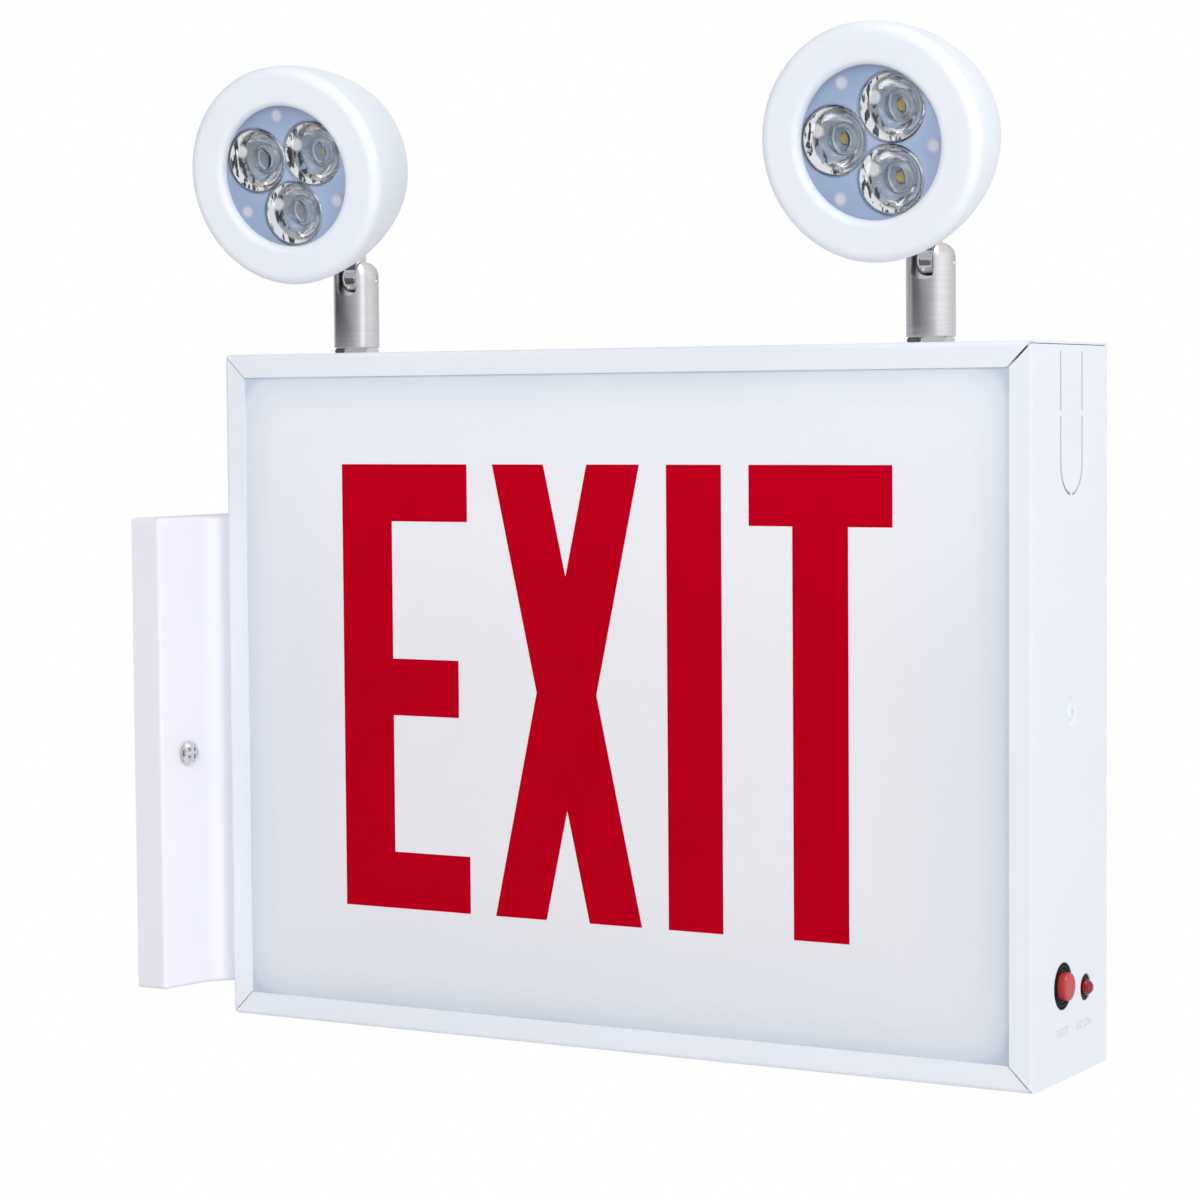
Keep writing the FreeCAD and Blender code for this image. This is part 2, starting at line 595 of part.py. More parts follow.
def mounting_bar():
    """Flat bar that bolts to the junction box; its ends are tapped for the canopy screws."""
    bar = block(0, BAR.x, -BAR.y / 2, BAR.y / 2, -BAR.z / 2, BAR.z / 2)
    bar = rounded(bar, 4.0, lambda m, run: run == "x")
    radius = BOX_SLOT_RADIUS
    straight = BOX_SLOT_LENGTH / 2 - radius
    for side in (-1, 1):
        middle = side * BOX_SCREW_SPACING / 2
        slot = block(-1, BAR.x + 1, middle - straight, middle + straight, -radius, radius)
        for end in (middle - straight, middle + straight):
            slot = slot.fuse(rod(radius, Vector(-1, end, 0), Vector(BAR.x + 1, end, 0)))
        bar = bar.cut(slot)
        hole = Vector(-1, side * CANOPY_SCREW_SPACING / 2, 0)
        bar = bar.cut(rod(CANOPY_SCREW + SNUG, hole, hole + X * 4))
    return bar.cut(rod(9.0, Vector(-1, 0, 0), Vector(BAR.x + 1, 0, 0)))


CANOPY_SCREW = 2.05
CANOPY_SCREW_HEAD = 5.6       # radius


def canopy_face_x(y):
    """Outside of the sloping face at a distance from the canopy's centre line."""
    outer, foot = CANOPY_WIDTH / 2, CANOPY_RISE_FOOT / 2
    return CANOPY_RIM_DEPTH + (CANOPY_CREST - CANOPY_RIM_DEPTH) * (outer - abs(y)) / (outer - foot)


def canopy_screws():
    """Two round-headed screws, slotted and crossed, through the face into the bar."""
    screws = []
    slope = math.atan2(CANOPY_CREST - CANOPY_RIM_DEPTH, (CANOPY_WIDTH - CANOPY_RISE_FOOT) / 2)
    rim = CANOPY_SCREW_HEAD
    form = [(0, 0), (rim, 0), (rim - 0.2, 0.8), (rim - 1.1, 1.9), (rim - 2.6, 2.6), (0, 2.9)]
    for side in (-1, 1):
        y = side * CANOPY_SCREW_SPACING / 2
        seat = Vector(canopy_face_x(y) + rim * math.tan(slope), y, 0)
        head = turned(form, seat, X, Y)
        head = head.cut(block(seat.x + 1.3, seat.x + 4, y - 7, y + 7, -0.7, 0.7))
        head = head.cut(block(seat.x + 1.3, seat.x + 4, y - 0.5, y + 0.5, -2.6, 2.6))
        screws.append(head.fuse(rod(CANOPY_SCREW, Vector(0, y, 0), seat)))
    return Part.makeCompound(screws)


def hub_nipple():
    """Hollow threaded tube that joins canopy and housing and passes the supply wires."""
    inside = CANOPY_DEPTH - CANOPY_SHEET - 8
    return tube(HUB_NIPPLE, HUB_NIPPLE - 1.6, Vector(inside, 0, 0), Vector(LEFT + SHEET + 8, 0, 0))


def hub_locknuts():
    """One nut inside the canopy and one inside the housing."""
    bore = HUB_NIPPLE + SNUG
    nuts = [hex_nut(HUB_NUT_FLATS, bore, Vector(seat, 0, 0), Vector(seat + 3, 0, 0))
            for seat in (CANOPY_DEPTH - CANOPY_SHEET - 3, LEFT + SHEET)]
    return Part.makeCompound(nuts)


def hub_screws():
    """Two pan-head screws, with nuts, that stop the housing turning on the canopy."""
    parts = []
    seat, nut = CANOPY_DEPTH - CANOPY_SHEET, LEFT + SHEET
    for z in HUB_SCREW_Z:
        head = rod(4.2, Vector(seat - 2.4, 0, z), Vector(seat, 0, z))
        parts.append(head.fuse(rod(HUB_SCREW, Vector(seat, 0, z), Vector(nut + 6, 0, z))))
        parts.append(hex_nut(8.0, HUB_SCREW + SNUG, Vector(nut, 0, z), Vector(nut + 3.2, 0, z)))
    return Part.makeCompound(parts)


# ---- Swivel: nipple, locknuts, post, pin ----
def post_foot(side):
    return Vector(POST_X[side], POST_Y, TOP)


def nipple(side):
    foot = post_foot(side)
    return tube(NIPPLE_RADIUS, WIRE_BORE, foot - Z * 10, foot + Z * (NUT_HEIGHT + 12))


def outer_locknut(side):
    foot = post_foot(side)
    return hex_nut(NUT_FLATS, NIPPLE_RADIUS + SNUG, foot, foot + Z * NUT_HEIGHT)


def inner_locknut(side):
    under = post_foot(side) - Z * SHEET
    return hex_nut(NUT_FLATS, NIPPLE_RADIUS + SNUG, under - Z * 3, under)


def post(side):
    """Round fork: domed top, slot with a round-cornered bottom, cross bore and wire bore."""
    foot = -(PIVOT_HEIGHT - NUT_HEIGHT)
    head = foot + POST_LENGTH
    body = rod(POST_RADIUS, Z * foot, Z * head)
    body = rounded(body, POST_DOME, lambda m, run: run == "c" and near(m.z, head))
    body = body.makeChamfer(0.4, [e for e in body.Edges if near(e.BoundBox.ZMax, foot)])
    slot = block(-FORK_SLOT / 2, FORK_SLOT / 2, -20, 20, -FORK_DEPTH, 20)
    slot = rounded(slot, FORK_CORNER, lambda m, run: run == "y" and near(m.z, -FORK_DEPTH))
    body = body.cut(slot)
    body = body.cut(rod(PIN_RADIUS + SNUG, X * -20, X * 20))
    body = body.cut(rod(WIRE_BORE, Z * (foot - 1), Z * 0))
    body = body.cut(rod(NIPPLE_RADIUS + RUNNING, Z * (foot - 1), Z * (foot + 12.3)))
    return at_post(body, side)


def at_post(shape, side):
    """Carry a shape drawn about the tilt axis to its post, panned but not tilted."""
    shape = shape.copy()
    shape.rotate(Vector(), Z, REST_PAN[side])
    shape.translate(Vector(POST_X[side], POST_Y, PIVOT_Z))
    return shape


def pivot_pin(side):
    end = POST_RADIUS - 0.5
    return at_post(rod(PIN_RADIUS, X * -end, X * end), side)


# ---- Lamp head, drawn level: tilt axis at the origin, lamp axis along -Y ----
def lamp_axis(depth):
    """Point on the lamp axis at a depth behind the front plane."""
    return Vector(0, depth - HEAD_REACH, HEAD_RISE)


def around(radius, angle, depth):
    """Point at a radius and angle round the lamp axis, seen from the front."""
    turn = math.radians(angle)
    return lamp_axis(depth) + Vector(radius * math.cos(turn), 0, radius * math.sin(turn))


BACK_DISC = 2.4
BACK_INSET = 1.0
REBATE_WALL = 1.2
BOARD_DISC = 1.6
BOARD_FRONT = HEAD_FACE + LENS_DEPTH
COVER_SCREW_PITCH = 34.5
COVER_SCREWS = (30, 150, 270)
BOSS_RADIUS = 3.4
BOSS_LENGTH = 12.0
BOSS_WEB = 1.2                # half its thickness
FLANGE_RADIUS = 11.5
FLANGE_PLATE = 2.5


def side_circle():
    """Centre (radius, depth) and radius of the arc that crowns the head's side."""
    (x1, y1), (x2, y2), (x3, y3) = ((HEAD_RADIUS, 0), (HEAD_WAIST_RADIUS, HEAD_LENGTH / 2),
                                    (HEAD_BACK_RADIUS, HEAD_LENGTH))
    circle = Part.Arc(Vector(x1, y1, 0), Vector(x2, y2, 0), Vector(x3, y3, 0)).toShape().Curve
    return circle.Center.x, circle.Center.y, circle.Radius


def shell_radius(depth, inset=0.0):
    """Outside of the crowned side at a depth behind the front plane, less an inset."""
    centre_r, centre_d, radius = side_circle()
    return centre_r + math.sqrt((radius - inset) ** 2 - (depth - centre_d) ** 2)


def side_arc(start, end, inset):
    """Outline point at the end of a stretch of the crowned side."""
    middle = (start + end) / 2
    return shell_radius(end, inset), end, shell_radius(middle, inset), middle


def head_shell(side):
    """Moulded cup: face ring, soft rims, crowned tapering wall, rebate and bosses for the cover."""
    rebate = HEAD_LENGTH - BACK_INSET - BACK_DISC
    outline = [(HEAD_OPENING, 0), (HEAD_RADIUS, 0), side_arc(0, HEAD_LENGTH, 0),
               (shell_radius(HEAD_LENGTH, REBATE_WALL), HEAD_LENGTH),
               side_arc(HEAD_LENGTH, rebate, REBATE_WALL),
               (shell_radius(rebate, HEAD_WALL), rebate), side_arc(rebate, HEAD_FACE, HEAD_WALL),
               (HEAD_OPENING, HEAD_FACE)]
    shell = turned(outline, lamp_axis(0), Y, X)
    front = lamp_axis(0).y
    shell = rounded(shell, 4.5, lambda m, run: near(m.y, front) and near(radius_of(m), HEAD_RADIUS))
    shell = rounded(shell, 3.0, lambda m, run: near(m.y, front) and near(radius_of(m), HEAD_OPENING))
    for angle in COVER_SCREWS:
        start, end, deep, clear = [around(COVER_SCREW_PITCH, angle, depth) for depth in (
            rebate - BOSS_LENGTH, rebate, rebate - BOSS_LENGTH + 3, rebate + 1)]
        shell = shell.fuse(rod(BOSS_RADIUS, start, end))
        shell = shell.fuse(boss_web(angle, rebate - BOSS_LENGTH, rebate))
        shell = shell.cut(rod(1.3, deep, clear))
    return at_pivot(shell, side)


def boss_web(angle, start, end):
    """Web that joins a screw boss to the wall, its outer edge inside the wall's thickness."""
    turn = math.radians(angle)
    sideways = Vector(-math.sin(turn), 0, math.cos(turn)) * BOSS_WEB
    wall = HEAD_WALL / 2
    corners = [around(COVER_SCREW_PITCH, angle, start), around(shell_radius(start, wall), angle, start),
               around(shell_radius(end, wall), angle, end), around(COVER_SCREW_PITCH, angle, end)]
    return prism([corner - sideways for corner in corners], sideways * 2)


def radius_of(point):
    """Distance of a point from the lamp axis."""
    return math.hypot(point.x, point.z - HEAD_RISE)


def lens_angles(side):
    return [LENS_ROLL[side] + 120 * k for k in range(3)]


def crown(radius, start, rise):
    """Outline point on the axis, reached along part of a sphere that starts at a radius."""
    sphere = (radius ** 2 + rise ** 2) / (2 * rise)
    half = radius / 2
    return (0, start + rise, half, start + rise - sphere + math.sqrt(sphere ** 2 - half ** 2))


def lens_array(side):
    """One clear moulding: a plate, three cone collimators with emitter cavities, three pegs."""
    array = rod(HEAD_OPENING + 3.5, lamp_axis(HEAD_FACE), lamp_axis(HEAD_FACE + LENS_EDGE))
    for angle in lens_angles(side):
        front = around(LENS_PITCH, angle, HEAD_FACE)
        cone = [(0, 0), (LENS_RADIUS, 0), (LENS_RADIUS, LENS_EDGE),
                (LENS_BACK, LENS_DEPTH, LENS_RADIUS - 2.4, LENS_DEPTH * 0.6), (0, LENS_DEPTH)]
        array = array.fuse(turned(cone, front, Y, X))
        peg = around(PEG_PITCH, angle + 60, HEAD_FACE)
        array = array.fuse(rod(PEG_RADIUS, peg + Y, peg + Y * LENS_DEPTH))
    for angle in lens_angles(side):
        rear = around(LENS_PITCH, angle, BOARD_FRONT)
        cavity = [(0, 1), (EMITTER_CAVITY, 1), (CAVITY_FLOOR, -CAVITY_DEPTH),
                  crown(CAVITY_FLOOR, -CAVITY_DEPTH, CAVITY_LENS)]
        array = array.cut(turned(cavity, rear, Y, X))
    return at_pivot(array, side)


def led_board(side):
    """Aluminium-backed disc with three domed emitters, one in each collimator."""
    board = rod(HEAD_OPENING + 2.5, lamp_axis(BOARD_FRONT), lamp_axis(BOARD_FRONT + BOARD_DISC))
    for angle in lens_angles(side):
        place = around(LENS_PITCH, angle, BOARD_FRONT)
        board = board.fuse(block(place.x - 1.8, place.x + 1.8, place.y - 0.8, place.y,
                                 place.z - 1.8, place.z + 1.8))
        board = board.fuse(rod(1.4, place - Y * 1.8, place - Y * 0.8))
    return at_pivot(board, side)


def head_back(side):
    """Rear cover in the shell's rebate, with a ring forward that clamps the LED board."""
    near_face = HEAD_LENGTH - BACK_INSET - BACK_DISC
    far_face = HEAD_LENGTH - BACK_INSET
    fit = REBATE_WALL + SNUG
    rim = [(shell_radius(near_face, fit), near_face), side_arc(near_face, far_face, fit)]
    disc = turned([(0, near_face)] + rim + [(0, far_face)], lamp_axis(0), Y, X)
    ring = tube(30.0, 28.0, lamp_axis(BOARD_FRONT + BOARD_DISC), lamp_axis(near_face))
    cover = disc.fuse(ring)
    cover = cover.cut(rod(2.5 + SNUG, lamp_axis(near_face - 1), lamp_axis(far_face + 1)))
    for angle in COVER_SCREWS:
        cover = cover.cut(rod(1.7, around(COVER_SCREW_PITCH, angle, near_face - 1),
                              around(COVER_SCREW_PITCH, angle, far_face + 1)))
    return at_pivot(cover, side)


def head_screws(side):
    """Three pan-head screws that hold the rear cover."""
    seat = HEAD_LENGTH - BACK_INSET
    screws = []
    for angle in COVER_SCREWS:
        under = around(COVER_SCREW_PITCH, angle, seat)
        screw = rod(2.7, under, under + Y * 1.6).fuse(rod(1.28, under - Y * 10, under))
        screws.append(screw.cut(cross_recess(under + Y * 1.7, Y * -1, 1.4, 1.0)))
    return at_pivot(Part.makeCompound(screws), side)


def knuckle(side):
    """Leaf in the fork and the arm that rises from it to a round flange on the head's back."""
    half = LEAF_WIDTH / 2
    leaf = rod(LEAF_RADIUS, X * -half, X * half)
    leaf = rounded(leaf, 2.4, lambda m, run: near(abs(m.x), half) and run == "c")
    seat = HEAD_LENGTH - BACK_INSET - HEAD_REACH
    arm = block(-half, half, -4.6, 4.6, 0, HEAD_RISE)
    arm = rounded(arm, 2.0, lambda m, run: run == "z")
    boss = rod(8.5, Vector(0, seat, HEAD_RISE), Vector(0, 4.6, HEAD_RISE))
    boss = rounded(boss, 2.5, lambda m, run: near(m.y, 4.6))
    flange = rod(FLANGE_RADIUS, Vector(0, seat, HEAD_RISE), Vector(0, seat + FLANGE_PLATE, HEAD_RISE))
    body = leaf.fuse(arm).fuse(boss).fuse(flange)
    body = body.cut(rod(PIN_RADIUS + RUNNING, X * -10, X * 10))
    body = body.cut(rod(2.5 + SNUG, Vector(0, seat - 1, HEAD_RISE), Vector(0, seat + 10, HEAD_RISE)))
    return at_pivot(body, side)


def knuckle_screw(side):
    """Screw from inside the head, through the rear cover, into the arm."""
    inner = HEAD_LENGTH - BACK_INSET - BACK_DISC
    head = rod(4.6, lamp_axis(inner - 3.2), lamp_axis(inner))
    return at_pivot(head.fuse(rod(2.5, lamp_axis(inner), lamp_axis(inner + BACK_DISC + 9))), side)


# ---- Write every piece ----
pieces = {
    "housing_shell": housing_shell(),
    "end_cap": end_cap(),
    "end_cap_screw": end_cap_screw(),
    "legend_panel": legend_panel(),
    "light_tray": light_tray(),
    "back_panel": back_panel(),
    "battery": battery(),
    "battery_strap": battery_strap(),
    "transformer": transformer(),
    "charger_board": charger_board(),
    "board_standoffs": board_standoffs(),
    "test_switch": test_switch(),
    "test_button": test_button(),
    "pilot_holder": pilot_holder(),
    "pilot_lamp": pilot_lamp(),
    "canopy_cover": canopy_cover(),
    "canopy_screws": canopy_screws(),
    "mounting_bar": mounting_bar(),
    "hub_nipple": hub_nipple(),
    "hub_locknuts": hub_locknuts(),
    "hub_screws": hub_screws(),
}
for name, offset in (("top", 90), ("middle", 0), ("bottom", -90)):
    pieces["led_strip_" + name] = led_strip(offset)
for maker in (nipple, outer_locknut, inner_locknut, post, pivot_pin, knuckle, head_shell, head_back,
              head_screws, lens_array, led_board, knuckle_screw):
    for side in ("left", "right"):
        pieces[maker.__name__ + "_" + side] = maker(side)

os.makedirs("parts", exist_ok=True)
for name, shape in pieces.items():
    shape = shape.removeSplitter()
    if not shape.isValid():
        print("not valid:", name)
    shape.exportStep(os.path.join("parts", name + ".step"))
print(len(pieces), "pieces written")
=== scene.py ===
# %% [markdown]
# # An emergency exit light
# The real thing is a folded steel sign that stands out from a wall on a pressed canopy, with two
# swivelling lamp heads on top.  Its solids were made first in a CAD program and packed as a model
# whose parts already know where they are and how they move.  This lesson dresses that model: it
# keeps every solid as it is, gives each surface a finish made of shader nodes, and adds the pieces
# that only the eye needs, such as the printed letters.
# Loading the packed model first means that every later piece is placed from it, with no fitting.

# %% Load the packed model
import math

import bmesh
import bpy
from mathutils import Matrix, Vector


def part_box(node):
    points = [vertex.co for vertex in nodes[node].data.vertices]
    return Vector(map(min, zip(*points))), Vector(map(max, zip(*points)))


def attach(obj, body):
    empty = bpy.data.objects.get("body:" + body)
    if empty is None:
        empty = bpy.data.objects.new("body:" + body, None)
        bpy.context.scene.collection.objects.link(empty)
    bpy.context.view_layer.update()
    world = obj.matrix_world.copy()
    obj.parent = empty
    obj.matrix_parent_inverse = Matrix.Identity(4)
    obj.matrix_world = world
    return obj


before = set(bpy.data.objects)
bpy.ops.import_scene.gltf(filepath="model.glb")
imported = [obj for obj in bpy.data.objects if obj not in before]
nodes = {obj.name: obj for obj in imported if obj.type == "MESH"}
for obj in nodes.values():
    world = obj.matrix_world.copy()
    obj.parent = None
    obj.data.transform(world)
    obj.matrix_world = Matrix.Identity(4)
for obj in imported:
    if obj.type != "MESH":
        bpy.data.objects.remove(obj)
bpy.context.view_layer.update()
MM = 0.001
SIDES = ("left", "right")

# %% [markdown]
# ## Sums on shader sockets
# A finish is mostly arithmetic: some noise, scaled, added to a roughness.  Placing a Math node for
# each sum by hand hides that.  The alternative is a small class that holds a socket and overloads
# Python's operators, so that `0.3 + noise * 0.1` reads as what it does and adds its own nodes.
# Only numbers go through it: a Math node would turn a colour grey, so colours use Mix and Vector
# Math nodes instead.

# %% A socket that Python's operators work on
class Value:
    """A shader socket.  Each operator adds one Math node to its graph."""

    def __init__(self, graph, socket):
        self.graph, self.socket = graph, socket

    def calculate(self, operation, first, second):
        return self.graph.node("ShaderNodeMath", {"operation": operation}, {0: first, 1: second})

    def __add__(self, other):
        return self.calculate("ADD", self, other)

    def __sub__(self, other):
        return self.calculate("SUBTRACT", self, other)

    def __rsub__(self, other):
        return self.calculate("SUBTRACT", other, self)

    def __mul__(self, other):
        return self.calculate("MULTIPLY", self, other)

    def __truediv__(self, other):
        return self.calculate("DIVIDE", self, other)

    __radd__, __rmul__ = __add__, __mul__


print("operators ready:", [name for name in vars(Value) if name.startswith("__r")])

# %% [markdown]
# ## One class for a node graph
# Finishes and the world are both node graphs, and all need the same few things: a way to add any
# node, noise at a size given in millimetres, a mix of two colours.  Writing them once keeps each
# finish below to the few lines that make it different.  Noise reads object coordinates, which move
# with a piece when a joint turns, so that the grain never swims over the surface.

# %% A node graph
def fill_ramp(ramp, stops):
    """Set a ramp's stops, each (place, grey or colour)."""
    while len(ramp.elements) < len(stops):
        ramp.elements.new(0.5)
    for element, (place, shade) in zip(ramp.elements, stops):
        element.position = place
        element.color = (*shade, 1) if isinstance(shade, tuple) else (shade, shade, shade, 1)


class Graph:
    """A node tree under construction."""

    def __init__(self, tree):
        self.tree = tree
        self.places = {}

    def node(self, kind, settings=None, inputs=None, output=0):
        """Any node: its type, its settings, then the values or links of its sockets."""
        node = self.tree.nodes.new(kind)
        for name, value in (settings or {}).items():
            if name == "stops":
                fill_ramp(node.color_ramp, value)
            else:
                setattr(node, name, value)
        for name, value in (inputs or {}).items():
            self.feed(node.inputs[name], value)
        return Value(self, node.outputs[output])

    def feed(self, socket, value):
        if isinstance(value, Value):
            self.tree.links.new(value.socket, socket)
        elif isinstance(value, tuple) and len(value) == 3 and socket.type == "RGBA":
            socket.default_value = (*value, 1)
        else:
            socket.default_value = value

    def split(self, vector):
        """The three numbers of a vector."""
        apart = self.node("ShaderNodeSeparateXYZ", {}, {0: vector}).socket.node
        return [Value(self, socket) for socket in apart.outputs]

    def where(self, kind="Object"):
        """Where a point is.  Object coordinates are metres in the part's own frame."""
        if kind not in self.places:
            self.places[kind] = self.node("ShaderNodeTexCoord", output=kind)
        return self.places[kind]

    def smooth(self, value, low, high):
        """0 below one number and 1 above another, with a soft step between."""
        return self.node("ShaderNodeMapRange", {"interpolation_type": "SMOOTHSTEP"},
                         {"Value": value, "From Min": low, "From Max": high})

    def rays(self, *kinds):
        """1 for any of these kinds of ray and 0 for the rest."""
        any_kind = 0.0
        for kind in kinds:
            is_kind = self.node("ShaderNodeLightPath", output="Is %s Ray" % kind)
            any_kind = self.node("ShaderNodeMath", {"operation": "MAXIMUM"}, {0: any_kind, 1: is_kind})
        return any_kind

    def noise(self, size_mm, detail=3.0, stretch=(1, 1, 1)):
        """Noise whose features are about that many millimetres, longer where stretch is small."""
        stretched = self.node("ShaderNodeMapping", {}, {"Vector": self.where(), "Scale": stretch})
        return self.node("ShaderNodeTexNoise", {}, {
            "Vector": stretched, "Scale": 1 / (size_mm * MM), "Detail": detail, "Roughness": 0.55})

    def scale(self, colour, factor):
        """A colour or a vector times a number."""
        return self.node("ShaderNodeVectorMath", {"operation": "SCALE"}, {0: colour, "Scale": factor})

    def mix(self, mask, first, second):
        """A colour between two colours."""
        colours = {6: first, 7: second}
        return self.node("ShaderNodeMix", {"data_type": "RGBA"}, {0: mask, **colours}, output=2)


print("a graph can add:", [name for name in vars(Graph) if not name.startswith("_")])

# %% [markdown]
# ## A finish, and the pieces that wear it
# A finish is a graph around one Principled shader, the node that stands for nearly every real
# surface.  Where two surfaces share a piece, such as clear plastic with a frosted ring, a second
# shader covers the first as far as a mask says, which keeps both of them simple.  The packed
# solids come with plain colours, and dressing one of them swaps that for a finish.

# %% Finishes
class Finish(Graph):
    """A material, named for the surface it covers, around one Principled shader."""

    def __init__(self, name, **fixed):
        self.material = bpy.data.materials.new(name)
        self.material.use_nodes = True
        super().__init__(self.material.node_tree)
        self.shader = self.tree.nodes["Principled BSDF"]
        self.set(**fixed)

    def set(self, **sockets):
        """Sockets of the shader, with _ for a space in their names."""
        for name, value in sockets.items():
            self.feed(self.shader.inputs[name.replace("_", " ")], value)
        return self

    def relief(self, height, depth_mm):
        """Fine relief: a height from 0 to 1 that stands for that many millimetres."""
        bump = self.node("ShaderNodeBump", {}, {"Height": height, "Distance": depth_mm * MM})
        return self.set(Normal=bump)

    def cover(self, mask, shader):
        """Another shader in place of the surface, as far as the mask goes from 0 to 1."""
        surface = self.tree.nodes["Material Output"].inputs["Surface"]
        below = Value(self, surface.links[0].from_socket)
        self.feed(surface, self.node("ShaderNodeMixShader", {}, {0: mask, 1: below, 2: shader}))


def dress(finish, *names):
    """Give CAD nodes a finish.  A name with {} stands for its left and right twins."""
    count = 0
    for name in names:
        for side in SIDES if "{}" in name else ("",):
            mesh = nodes[name.format(side)].data
            mesh.materials.clear()
            mesh.materials.append(finish.material)
            count += 1
    print(finish.material.name, "on", count, "nodes")


print("sides that {} stands for:", SIDES)

# %% [markdown]
# ## White enamel on steel
# The case, the cap and the canopy are painted steel.  Powder paint is never flat: it has a faint
# orange-peel relief and tiny shifts of gloss where it flowed.  Two noises do it, one about a
# millimetre across for the relief and a wide one for colour and gloss.  The fold between the cap's
# front and its end gets painted shade, a darker colour where two lamps light the fold at once, and
# its distance from a point, measured level, says where.  The three paints differ a little in
# warmth, so one function makes them from a colour.

# %% Enamel for case and canopy
FOLD_PAINTED_SHADE, FOLD_NEAR, FOLD_FAR = 0.89, 0.8 * MM, 3.0 * MM


def enamel(name, colour, roughness=0.50, fold=None):
    """Satin powder paint with orange peel and slow shifts of shade, and painted shade along an upright fold.
    """
    paint = Finish(name, Specular_IOR_Level=0.28)
    cloud = paint.noise(45.0)
    peel = paint.noise(0.9, detail=2.0)
    dark = tuple(channel * 0.975 for channel in colour)
    shade = paint.mix(cloud, dark, colour)
    # Painted shade: the colour is darker within a few millimetres of the fold, where two lamps light it at
    # once.
    if fold:
        level = paint.node("ShaderNodeVectorMath", {"operation": "MULTIPLY"},
                           {0: paint.where(), 1: (1, 1, 0)})
        away = paint.node("ShaderNodeVectorMath", {"operation": "DISTANCE"},
                          {0: level, 1: (*fold, 0)}, output="Value")
        flat = paint.smooth(away, FOLD_NEAR, FOLD_FAR)
        shade = paint.scale(shade, FOLD_PAINTED_SHADE + flat * (1 - FOLD_PAINTED_SHADE))
    paint.set(Base_Color=shade, Roughness=roughness + cloud * 0.08 + peel * 0.04)
    return paint.relief(peel, 0.012)


cap_low, cap_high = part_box("end_cap")
case_enamel = enamel("case_enamel", (0.850, 0.888, 0.955), fold=(cap_high.x, cap_low.y))
canopy_enamel = enamel("canopy_enamel", (0.872, 0.872, 0.950))
inside_enamel = enamel("inside_enamel", (0.80, 0.80, 0.80), roughness=0.55)
dress(case_enamel, "housing_shell", "end_cap", "back_panel", "end_cap_screw")
dress(canopy_enamel, "canopy_cover")
dress(inside_enamel, "light_tray")

# %% [markdown]
# ## The legend face
# The face is a satin white sheet that spreads the light of the strips behind it.  Its colour holds
# painted shade and light: pale grey at its border, where the frame shades it, a little lighter and
# warmer in the middle, and lighter towards its top.  That slow change is painted from the distance
# to the nearest edge of the sheet: each axis gives a distance to its nearer end, and the smaller of
# the two counts, with a soft minimum so that the shade has no crease in the corners.  The strip
# behind the frame is painted near black as unlit, which is why the mitred slits of the frame look
# black, and there a sharp minimum keeps its corners square.

# %% Finish of the legend face
def border_distances(finish, node):
    """Distances in millimetres from a point of the face to the node's nearer side and end."""
    low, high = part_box(node)
    place = finish.split(finish.where())
    spans = []
    for axis in (0, 2):
        middle, half = (low[axis] + high[axis]) / 2, (high[axis] - low[axis]) / 2
        off = finish.node("ShaderNodeMath", {"operation": "ABSOLUTE"}, {0: place[axis] - middle})
        spans.append((half - off) / MM)
    return spans


def painted_top_light(finish, gain):
    """Painted light: a gain of the colour towards the top of the face."""
    low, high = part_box("legend_panel")
    return 1 + finish.smooth(finish.split(finish.where())[2], (low.z + high.z) / 2, high.z) * gain


# Millimetres: the border behind the frame, how soft a corner's shade is, and how far shade reaches.
HIDDEN, ROUNDING, FALL_OFF = 8.4, 30.0, 75.0
SLIT_EDGE = (HIDDEN - 4.5, HIDDEN - 0.3)
# Painted shade: the border behind the frame is painted near black, and the face darkens towards the frame and
# lightens towards its middle.
UNLIT = (0.012, 0.013, 0.016)
FACE_PAINTED_SHADE = [(0.0, (0.52, 0.59, 0.69)), (0.04, (0.66, 0.71, 0.79)), (0.12, (0.73, 0.77, 0.835)),
              (0.25, (0.785, 0.815, 0.87)), (0.55, (0.82, 0.83, 0.88)), (1.0, (0.85, 0.845, 0.895))]
legend_face = Finish("legend_face", Specular_IOR_Level=0.3)
across, upright = border_distances(legend_face, "legend_panel")
inward = legend_face.node("ShaderNodeMath", {"operation": "SMOOTH_MIN"},
                          {0: across, 1: upright, 2: ROUNDING})
nearest = legend_face.node("ShaderNodeMath", {"operation": "MINIMUM"}, {0: across, 1: upright})
# The ramp paints shade towards the frame, and the gain paints light towards the top of the face.
shade = legend_face.node("ShaderNodeValToRGB", {"stops": FACE_PAINTED_SHADE},
                         {"Fac": (inward - HIDDEN) / FALL_OFF + legend_face.noise(60.0) * 0.06})
face_with_painted_light = legend_face.scale(shade, painted_top_light(legend_face, 0.10))
out_of_frame = legend_face.smooth(nearest, *SLIT_EDGE)
grain = legend_face.noise(0.35, detail=2.0)
legend_face.set(Base_Color=legend_face.mix(out_of_frame, UNLIT, face_with_painted_light),
                Roughness=0.5 + grain * 0.08)
legend_face.relief(grain, 0.006)
dress(legend_face, "legend_panel")

# %% [markdown]
# ## Printed letters
# The word is screen printed: a film of red ink a few hundredths of a millimetre thick.  It could be
# painted by the face's own material, but a mesh keeps its edges sharp at any distance and can have
# its own gloss.  Each letter is an outline of corner points, filled and given the film's thickness.
# The strokes are about one inch wide and the letters eight inches high, as on a large sign.

# %% Outlines of the four letters
BASELINE, CAP_LINE = -68.4, 134.6
STROKE, BAR = 25.9, 26.1
MID_LOW, MID_HIGH = 20.2, 46.1


def letter_e(left, stem, right, middle):
    """left, stem: the upright's sides; right, middle: where the outer and the middle arms end."""
    low, high = BASELINE, CAP_LINE
    return [(left, low), (right, low), (right, low + STROKE), (stem, low + STROKE), (stem, MID_LOW),
            (middle, MID_LOW), (middle, MID_HIGH), (stem, MID_HIGH), (stem, high - STROKE),
            (right, high - STROKE), (right, high), (left, high)]


